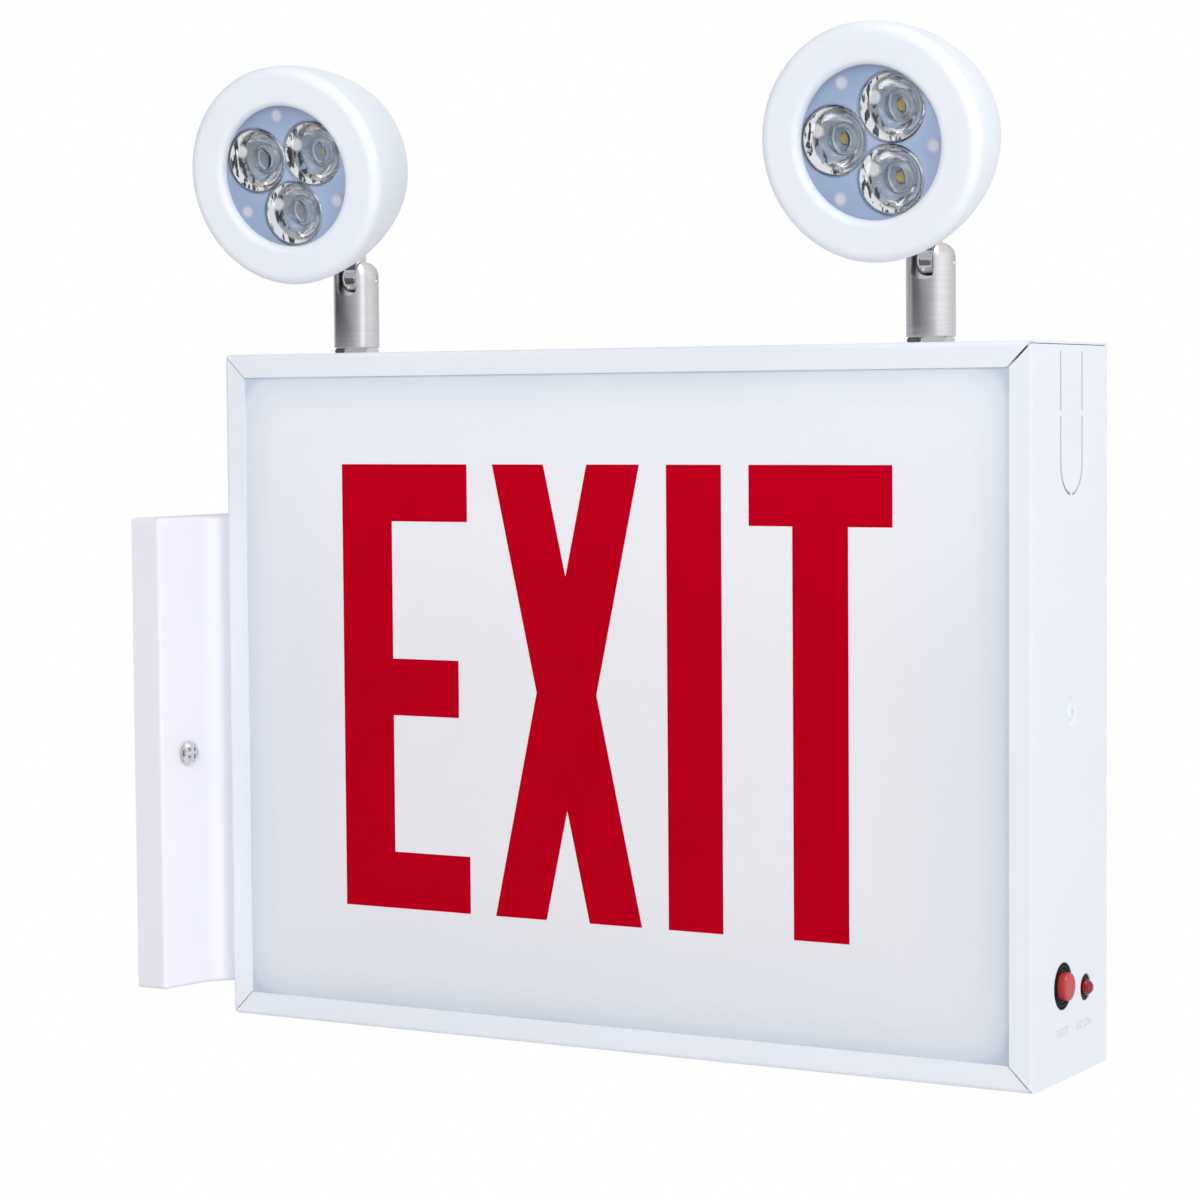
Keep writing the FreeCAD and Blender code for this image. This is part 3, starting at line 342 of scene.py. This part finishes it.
def letter_x(centre, outer, inner, waist, crotch):
    """outer, inner: half widths of the legs' ends; crotch: inner corner above the waist."""
    level = (BASELINE + CAP_LINE) / 2
    return [(centre - outer, BASELINE), (centre - inner, BASELINE), (centre, level - crotch),
            (centre + inner, BASELINE), (centre + outer, BASELINE), (centre + waist, level),
            (centre + outer, CAP_LINE), (centre + inner, CAP_LINE), (centre, level + crotch),
            (centre - inner, CAP_LINE), (centre - outer, CAP_LINE), (centre - waist, level)]


def letter_i(left, right):
    return [(left, BASELINE), (right, BASELINE), (right, CAP_LINE), (left, CAP_LINE)]


def letter_t(left, right, stem_left, stem_right):
    bar = CAP_LINE - BAR
    return [(stem_left, BASELINE), (stem_right, BASELINE), (stem_right, bar), (right, bar),
            (right, CAP_LINE), (left, CAP_LINE), (left, bar), (stem_left, bar)]


letters = {"letter_E": letter_e(96.4, 123.4, 163.8, 158.55),
           "letter_X": letter_x(214.8, 37.6, 11.1, 15.3, 51.9),
           "letter_I": letter_i(265.75, 292.65), "letter_T": letter_t(305.95, 373.45, 326.7, 352.9)}
print({name: len(outline) for name, outline in letters.items()})

# %% Fill the outlines and lay them on the face
INK = 0.06


def new_piece(name, shape, finish, body):
    """Turn a bmesh into an object that rides on a body."""
    mesh = bpy.data.meshes.new(name)
    bmesh.ops.recalc_face_normals(shape, faces=shape.faces)
    shape.to_mesh(mesh)
    shape.free()
    mesh.materials.append(finish.material)
    piece = bpy.data.objects.new(name, mesh)
    bpy.context.scene.collection.objects.link(piece)
    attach(piece, body)
    return piece


def film(outline, y):
    """A thin printed film in front of the plane y, from (x, z) corners in millimetres."""
    shape = bmesh.new()
    back = [shape.verts.new((x * MM, y, z * MM)) for x, z in outline]
    front = [shape.verts.new((x * MM, y - INK * MM, z * MM)) for x, z in outline]
    shape.faces.new(back)
    shape.faces.new(front)
    for k in range(len(outline)):
        shape.faces.new((back[k - 1], back[k], front[k], front[k - 1]))
    shape.normal_update()
    bmesh.ops.triangulate(shape, faces=[f for f in shape.faces if len(f.verts) > 4])
    return shape


letter_ink = Finish("letter_ink", Specular_IOR_Level=0.0)
flow = letter_ink.noise(30.0)
grain = letter_ink.noise(0.5, detail=2.0)
tone = letter_ink.mix(flow, (0.460, 0.0, 0.010), (0.520, 0.0, 0.014))
# Painted light: the ink is lighter towards its top, as the face is.
letter_ink.set(Base_Color=letter_ink.scale(tone, painted_top_light(letter_ink, 0.12)),
               Roughness=0.44 + grain * 0.1)
letter_ink.relief(grain, 0.004)
face_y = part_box("legend_panel")[0].y
for name, outline in letters.items():
    new_piece(name, film(outline, face_y), letter_ink, "housing")
print("letters printed at y =", round(face_y / MM, 2), "mm")

# %% [markdown]
# ## Small words on the cap
# Two faint words name the test button and the mains lamp.  Blender's built-in font gives their
# outlines, which are filled, made as thick as ink and laid on the cap.  They are set wide and low,
# as stamped marking often is, and printed in a grey only a little darker than the paint.

# %% Mark the button and the lamp
marking = Finish("pale_marking", Specular_IOR_Level=0.3)
wear = marking.noise(2.0)
marking.set(Base_Color=marking.mix(wear, (0.66, 0.65, 0.66), (0.72, 0.71, 0.71)), Roughness=0.5)
WORDS = {"word_test": ("TEST", -17.6, -2.6), "word_ac_on": ("AC ON", 5.9, 22.6)}
WORD_FOOT, WORD_HEIGHT = -105.7, 3.6


def printed_word(name, text, start, end):
    """Letters between two places along +Y, printed on the cap."""
    curve = bpy.data.curves.new(name, "FONT")
    curve.body = text
    curve.extrude = 0.01  # any thickness will do, as the ink's own replaces it below
    holder = bpy.data.objects.new(name, curve)
    bpy.context.scene.collection.objects.link(holder)
    bpy.context.view_layer.update()
    mesh = bpy.data.meshes.new_from_object(holder)
    bpy.data.objects.remove(holder)
    xs = [v.co.x for v in mesh.vertices]
    ys = [v.co.y for v in mesh.vertices]
    wide, tall = (end - start) / (max(xs) - min(xs)), WORD_HEIGHT / (max(ys) - min(ys))
    for v in mesh.vertices:
        across, up, out = v.co
        v.co = (cap_high.x + (INK * MM if out > 0 else 0), (start + (across - min(xs)) * wide) * MM,
                (WORD_FOOT + (up - min(ys)) * tall) * MM)
    shape = bmesh.new()
    shape.from_mesh(mesh)
    bmesh.ops.remove_doubles(shape, verts=shape.verts, dist=1e-6)
    return new_piece(name, shape, marking, "housing")


for name, setting in WORDS.items():
    piece = printed_word(name, *setting)
    print(name, len(piece.data.polygons), "faces")

# %% [markdown]
# ## Lamp heads
# The heads are moulded in a satin white plastic.  It is softer to look at than paint: light goes a
# little way in before it comes out, which fills the shade inside the rim, and the mould leaves a
# very fine texture.  A touch of subsurface does the first and a small noise the second.

# %% Moulded white plastic
head_plastic = Finish("head_plastic", Specular_IOR_Level=0.26, Subsurface_Weight=0.12, Subsurface_Scale=0.004)
texture = head_plastic.noise(0.5, detail=2.0)
tone = head_plastic.noise(38.0)
head_plastic.set(Base_Color=head_plastic.mix(tone, (0.850, 0.893, 0.968), (0.870, 0.908, 0.978)),
                 Roughness=0.50 + texture * 0.08)
head_plastic.relief(texture, 0.006)
dress(head_plastic, "head_shell_{}", "head_back_{}")

# %% [markdown]
# ## Nickel posts
# The posts are turned and then nickel plated, so their soft sheen is crossed by fine level lines.
# A noise squeezed to thin level streaks gives the lines, and an anisotropic shine spreads what the
# post mirrors up and down, as turned metal does.  The nut under each post and the leaf in its fork
# are plated over polished metal and mirror the room sharply.  Screws, nipples and the bar behind
# the canopy are zinc plated.  All of them are one kind of finish, so one function makes them.

# %% Plated metals
def plated(name, colour, roughness, grain_mm, stretch=(1, 1, 1), streaks=0.05, depth_mm=0.003,
           **settings):
    """Bare metal with a fine grain that shows as streaks of shade and as relief."""
    metal = Finish(name, Metallic=1.0, **settings)
    grain = metal.noise(grain_mm, detail=2.0, stretch=stretch)
    stain = metal.noise(9.0)
    plain = metal.mix(stain, tuple(channel * 0.95 for channel in colour), colour)
    metal.set(Base_Color=metal.scale(plain, 1 - streaks + grain * 2 * streaks),
              Roughness=roughness + grain * 0.1 + stain * 0.05)
    return metal.relief(grain, depth_mm)


satin_nickel = plated("satin_nickel", (0.80, 0.785, 0.80), 0.27, 0.8, stretch=(0.05, 0.05, 1),
                      streaks=0.12, depth_mm=0.0002, Anisotropic=0.9, Anisotropic_Rotation=0.25)
bright_nickel = plated("bright_nickel", (0.80, 0.80, 0.81), 0.06, 0.6)
bright_zinc = plated("bright_zinc", (0.70, 0.71, 0.73), 0.28, 0.4)
dress(satin_nickel, "post_{}")
dress(bright_nickel, "knuckle_{}", "outer_locknut_{}", "pivot_pin_{}", "canopy_screws")
dress(bright_zinc, "mounting_bar", "hub_nipple", "hub_locknuts", "hub_screws", "nipple_{}",
      "inner_locknut_{}", "head_screws_{}", "knuckle_screw_{}", "battery_strap")

# %% [markdown]
# ## Lenses and emitters
# Each head has one clear moulding: a plate with three deep collimators that gather the light of
# three emitters.  Real refraction is what makes a collimator look like one, so the moulding is
# clear acrylic.  The board behind it has a yellow emitter under each collimator in a blue mask,
# with dark rings and two pale rings round it; the pale rings are painted highlights, and the cone
# walls fold all of them into rings of their own.  The plate between the collimators is faintly
# frosted to hide the board, and its three pegs show as paler dots.  Each collimator also mirrors
# its surroundings in a crescent and a spot, full of flecks.  A plain studio has nothing to put
# there, so they are painted in place.  All these features are circles round a lens or a peg, so
# both finishes first turn object coordinates into the lamp's own frame, where a distance in the
# face's plane finds them.

# %% The lamp's own frame
LAMPS = {"left": {"post": 88.3, "down": 10.6, "turn": 3.7, "first": 34.0},
         "right": {"post": 379.7, "down": 9.1, "turn": 0.4, "first": 55.0}}
TILT_AXIS = (-16.1, 220.3)
FACE_FROM_AXIS = (0, -55.6, 54.2)
LENS_PITCH, PEG_PITCH = 16.8, 27.2


def lamp_frame(side):
    """Matrix of the lamp: origin in the middle of its front plane, +Y back along its axis."""
    lamp = LAMPS[side]
    place = Matrix.Translation(Vector((lamp["post"], *TILT_AXIS)) * MM)
    turn = Matrix.Rotation(math.radians(lamp["turn"]), 4, "Z")
    tilt = Matrix.Rotation(math.radians(lamp["down"]), 4, "X")
    return place @ turn @ tilt @ Matrix.Translation(Vector(FACE_FROM_AXIS) * MM)


def distances(finish, node, side, pitch, offset=0, shift=(0, 0)):
    """Millimetres, in the face's plane, from a point to each of three circles' centres."""
    into = lamp_frame(side).inverted() @ nodes[node].matrix_world
    local = finish.node("ShaderNodeMapping", {"vector_type": "POINT"}, {
        "Vector": finish.where(), "Location": into.to_translation(), "Rotation": into.to_euler()})
    flat = finish.node("ShaderNodeVectorMath", {"operation": "MULTIPLY"},
                       {0: local, 1: (1 / MM, 0, 1 / MM)})
    found = []
    for third in range(3):
        angle = math.radians(LAMPS[side]["first"] + 120 * third + offset)
        centre = (pitch * math.cos(angle) + shift[0], 0, pitch * math.sin(angle) + shift[1])
        found.append(finish.node("ShaderNodeVectorMath", {"operation": "DISTANCE"},
                                 {0: flat, 1: centre}, output="Value"))
    return found


def nearest_of(finish, values):
    """The smallest of several distances."""
    smallest, *others = values
    for other in others:
        smallest = finish.node("ShaderNodeMath", {"operation": "MINIMUM"}, {0: smallest, 1: other})
    return smallest


print("lamp axes:", {side: [round(c, 3) for c in lamp_frame(side).col[1][:3]] for side in SIDES})

# %% Clear acrylic with frost, pegs and glints
# Radii between which a circle's edge fades, and how far some circles lie off their lens.
PLATE_FROM = (14.2, 15.6)
PEG = (1.4, 3.6)
RIM = (13.2, 13.9)
CRESCENT, CRESCENT_SHIFT = (12.2, 13.6), (3.4, 0.9)
SPOT, SPOT_SHIFT = (1.8, 3.8), (-7.2, 4.4)
FLECKS = (0.51, 0.55)


def lens_acrylic(side, node):
    """Clear acrylic, with frost on the plate and its pegs and painted glints in the collimators."""
    acrylic = Finish("clear_acrylic_" + side, Transmission_Weight=1.0, IOR=1.49, Roughness=0.01,
                     Base_Color=(0.97, 0.985, 1.0))
    around = distances(acrylic, node, side, LENS_PITCH)
    plate = acrylic.smooth(nearest_of(acrylic, around), *PLATE_FROM)
    pegs = distances(acrylic, node, side, PEG_PITCH, offset=60)
    peg = 1 - acrylic.smooth(nearest_of(acrylic, pegs), *PEG)
    frost = acrylic.node("ShaderNodeBsdfPrincipled", {}, {
        "Base Color": acrylic.mix(peg, (0.54, 0.69, 0.97), (0.84, 0.88, 0.97)), "Roughness": 0.35})
    acrylic.cover(plate * 0.5 + peg * 0.22, frost)

    crescent = 0.0
    for lens, shifted in zip(around, distances(acrylic, node, side, LENS_PITCH, shift=CRESCENT_SHIFT)):
        within = 1 - acrylic.smooth(lens, *RIM)
        crescent = crescent + acrylic.smooth(shifted, *CRESCENT) * within
    spots = distances(acrylic, node, side, LENS_PITCH, shift=SPOT_SHIFT)
    spot = 1 - acrylic.smooth(nearest_of(acrylic, spots), *SPOT)
    fleck = acrylic.smooth(acrylic.noise(3.6, detail=3.0, stretch=(1.5, 1, 0.5)), *FLECKS)
    glint = acrylic.node("ShaderNodeBsdfPrincipled", {}, {
        "Base Color": acrylic.mix(fleck * crescent, (0.96, 0.97, 1.0), (0.02, 0.025, 0.04)),
        "Roughness": 0.3})
    acrylic.cover(crescent * 0.75 + spot * 0.6, glint)
    return acrylic


for side in SIDES:
    dress(lens_acrylic(side, "lens_array_" + side), "lens_array_" + side)

# %% Rings round each emitter on the lamp board
# Painted highlights: the two pale rings round each emitter; the yellow emitter and the blue mask are the
# board's own colours.
MASK, SHINE, OUTER_SHINE = (0.42, 0.52, 0.66), (0.95, 0.97, 1.0), (0.97, 0.98, 1.0)
RINGS = [(0.0, (0.62, 0.48, 0.14)), (0.17, (0.55, 0.40, 0.10)), (0.20, (0.10, 0.12, 0.15)),
         (0.24, MASK), (0.40, MASK), (0.42, SHINE), (0.46, SHINE), (0.48, (0.30, 0.38, 0.50)),
         (0.56, MASK), (0.58, OUTER_SHINE), (0.62, OUTER_SHINE), (0.64, (0.22, 0.28, 0.38)),
         (0.70, (0.62, 0.78, 0.98))]
RINGS_END = 10.0
for side in SIDES:
    board = Finish("lamp_board_" + side, Specular_IOR_Level=0.5)
    near = nearest_of(board, distances(board, "led_board_" + side, side, LENS_PITCH))
    rings = board.node("ShaderNodeValToRGB", {"stops": RINGS}, {"Fac": near / RINGS_END})
    board.set(Base_Color=rings, Roughness=0.35 + board.noise(3.0) * 0.1)
    dress(board, "led_board_" + side)

# %% [markdown]
# ## Switch, pilot lamp and the parts inside
# The button is plain red plastic, polished by fingers on its face.  The pilot lamp is a red dome
# that light passes through.  What sits inside the case is never seen when it is shut, but it is
# part of the model, so each of those pieces gets a plain finish of its own kind as well.

# %% Plastics and inner parts
def moulding(name, colour, roughness, specular=0.45):
    """Moulded plastic or a dipped coat: a fine grain and slow shifts of its colour."""
    plastic = Finish(name, Specular_IOR_Level=specular)
    grain = plastic.noise(0.6, detail=2.0)
    cloud = plastic.noise(12.0)
    plastic.set(Base_Color=plastic.mix(cloud, tuple(channel * 0.9 for channel in colour), colour),
                Roughness=roughness + grain * 0.12)
    return plastic.relief(grain, 0.005)


dress(moulding("black_moulding", (0.009, 0.010, 0.017), 0.34, specular=0.1),
      "test_switch", "pilot_holder")
dress(moulding("red_button", (0.58, 0.045, 0.055), 0.16), "test_button")
dress(moulding("battery_case", (0.03, 0.03, 0.034), 0.5), "battery")
dress(moulding("solder_mask", (0.02, 0.14, 0.06), 0.35), "charger_board")
dress(moulding("strip_mask", (0.80, 0.82, 0.80), 0.4),
      "led_strip_top", "led_strip_middle", "led_strip_bottom")
dress(moulding("core_varnish", (0.10, 0.09, 0.085), 0.4), "transformer")
dress(moulding("nylon", (0.78, 0.77, 0.72), 0.45), "board_standoffs")
red_dome = Finish("red_dome", Transmission_Weight=0.35, IOR=1.5, Specular_IOR_Level=0.6)
depth = red_dome.noise(4.0)
red_dome.set(Base_Color=red_dome.mix(depth, (0.36, 0.0, 0.008), (0.46, 0.004, 0.012)),
             Roughness=0.01 + depth * 0.02)
dress(red_dome, "pilot_lamp")

# %% [markdown]
# ## The room and the floor
# Metal looks like metal through what it mirrors.  In an all white room plated metal goes flat and
# white, so mirrors find a room with tones of its own, dark at the left, bright at the right and
# grey behind, and that gives the posts and nuts their bands.  A list of greys round the horizon is
# enough for it, and easier to steer than real walls and screens.
# The sign hangs on a wall, so the floor lies well below it.  Close under the sign it is an ordinary
# white surface that takes its shadow.  Farther out it turns into the backdrop: white to the eye and
# through glass, the room's tones to a mirror, and no source of light for anything.

# %% The room's tones
ROOM = [(0.0, 0.50), (0.19, 0.40), (0.24, 0.03), (0.33, 0.03), (0.42, 0.09), (0.48, 0.18), (0.53, 0.28),
        (0.58, 0.43), (0.63, 0.58), (0.67, 0.90), (0.70, 1.0), (0.75, 0.95), (0.80, 0.80), (0.88, 0.64),
        (1.0, 0.50)]
BRIGHTEST = 1.2


def room_tone(graph, x, y):
    """Brightness that a mirror finds in the level direction x, y."""
    angle = graph.node("ShaderNodeMath", {"operation": "ARCTAN2"}, {0: x, 1: y * -1})
    return graph.node("ShaderNodeValToRGB", {"stops": ROOM}, {"Fac": angle / math.tau + 0.5}) * BRIGHTEST


def mirror_rays(graph):
    """1 for a ray straight off a mirror, 0 for one that has been through glass."""
    through_glass = graph.node("ShaderNodeLightPath", output="Transmission Depth")
    return graph.rays("Glossy") * (1 - graph.smooth(through_glass, 0.0, 1.0))


print("room:", len(ROOM), "tones round the horizon")

# %% The pale floor
FLOOR_Z, FLOOR_HALF = -0.62, 30.0
SHADOW_REACH = (0.9, 1.3)
corners = [(-FLOOR_HALF, -FLOOR_HALF, 0), (FLOOR_HALF, -FLOOR_HALF, 0),
           (FLOOR_HALF, FLOOR_HALF, 0), (-FLOOR_HALF, FLOOR_HALF, 0)]
floor_mesh = bpy.data.meshes.new("floor")
floor_mesh.from_pydata(corners, [], [(0, 1, 2, 3)])
floor = bpy.data.objects.new("floor", floor_mesh)
floor.location = (0.25, 0, FLOOR_Z)
bpy.context.scene.collection.objects.link(floor)
floor_paint = Finish("floor_white", Base_Color=(0.86, 0.86, 0.87), Roughness=0.9)
away = floor_paint.node("ShaderNodeVectorMath", {"operation": "LENGTH"}, {0: floor_paint.where()},
                        output="Value")
x, y, _ = floor_paint.split(floor_paint.where())
shown = 1 + (room_tone(floor_paint, x, y) - 1) * mirror_rays(floor_paint)
glow = floor_paint.node("ShaderNodeEmission", {}, {"Color": shown})
seen = floor_paint.rays("Camera", "Glossy", "Transmission")
floor_paint.cover(seen * floor_paint.smooth(away, *SHADOW_REACH), glow)
floor_mesh.materials.append(floor_paint.material)
print("floor at", FLOOR_Z, "m, white from", SHADOW_REACH, "m outwards")

# %% [markdown]
# ## The world around it
# The world works like the floor's far part, through the same switch by kind of ray: white to the
# eye and through glass, the room's tones to a mirror, with a bright ceiling above them, and a dim
# even sky to matt surfaces.  Such a switch only works if the world is found by rays that happen to
# hit it, so sampling it as a lamp is turned off.

# %% The world
SKY, CEILING = 0.42, 0.85
CEILING_FROM = (0.25, 0.7)
world = bpy.data.worlds.new("white_surround")
bpy.context.scene.world = world
world.use_nodes = True
room = Graph(world.node_tree)
x, y, z = room.split(room.where("Generated"))
wall = room_tone(room, x, y)
mirrored = wall + (CEILING - wall) * room.smooth(z, *CEILING_FROM)
lit = SKY + (1 - SKY) * room.rays("Camera", "Glossy", "Transmission")
backdrop = world.node_tree.nodes["Background"]
room.feed(backdrop.inputs["Color"], lit + (mirrored - 1) * mirror_rays(room))
room.feed(backdrop.inputs["Strength"], 1.0)
world.cycles.sampling_method = "NONE"
print("sky on matt surfaces:", SKY, "ceiling in mirrors:", CEILING)

# %% [markdown]
# ## Soft lamps
# Three large area lamps light the paint and the plastic: one from the right, towards the cap, one
# from the front and one from behind.  Large lamps give soft shadows.  Mirrors don't see them,
# because the room's tones already stand for large soft sources.  One small lamp is the other way
# round, seen by mirrors alone, and sets the highlights on the button, the pilot lamp and the screws.

# %% Lamps
CENTRE = Vector((0.234, 0.0, 0.06))


def softbox(name, azimuth, height, distance, size, watts, matt=True):
    """A square area lamp that looks at the middle of the sign.  Azimuth turns from -Y to +X.

    It lights matt surfaces, or with matt=False it only shows in mirrors.
    """
    around, above = math.radians(azimuth), math.radians(height)
    place = CENTRE + distance * Vector((math.sin(around) * math.cos(above),
                                        -math.cos(around) * math.cos(above), math.sin(above)))
    lamp = bpy.data.lights.new(name, "AREA")
    lamp.size, lamp.energy = size, watts
    holder = bpy.data.objects.new(name, lamp)
    holder.location = place
    holder.rotation_euler = (CENTRE - place).to_track_quat("-Z", "Y").to_euler()
    holder.visible_glossy = not matt
    holder.visible_diffuse = matt
    bpy.context.scene.collection.objects.link(holder)


softbox("key", 78, 22, 2.4, 1.3, 25.0)
softbox("front", 8, 30, 2.4, 2.0, 26.0)
softbox("back", 205, 35, 2.4, 1.6, 13.0)
softbox("glint", 68, 66, 1.8, 0.45, 9.0, matt=False)

# %% [markdown]
# ## Camera
# The camera stands to the right of the sign at about its own height and looks a little down, from
# about one and a half metres away.  It is set by three angles and a place, which are easier to
# change by small steps than a matrix.  The view transform is Standard, so that a colour comes out
# as it is written.

# %% Place the camera
YAW, PITCH, ROLL = (math.radians(angle) for angle in (29.883, -3.267, -0.441))
STAND = (0.95686, -1.30234, 0.15819)
FOCAL_MM, SENSOR_MM = 99.5, 36.0
ahead = Vector((-math.sin(YAW) * math.cos(PITCH), math.cos(YAW) * math.cos(PITCH), math.sin(PITCH)))
right = Vector((math.cos(YAW), math.sin(YAW), 0))
up = right.cross(ahead)
right, up = right * math.cos(ROLL) + up * math.sin(ROLL), up * math.cos(ROLL) - right * math.sin(ROLL)
camera = bpy.data.objects.new("camera", bpy.data.cameras.new("camera"))
camera.data.lens, camera.data.sensor_width = FOCAL_MM, SENSOR_MM
camera.matrix_world = Matrix.Translation(STAND) @ Matrix((right, up, -ahead)).transposed().to_4x4()
bpy.context.scene.collection.objects.link(camera)
bpy.context.scene.camera = camera
bpy.context.scene.view_settings.view_transform = "Standard"
print("camera looks along", [round(c, 3) for c in ahead])

# %% [markdown]
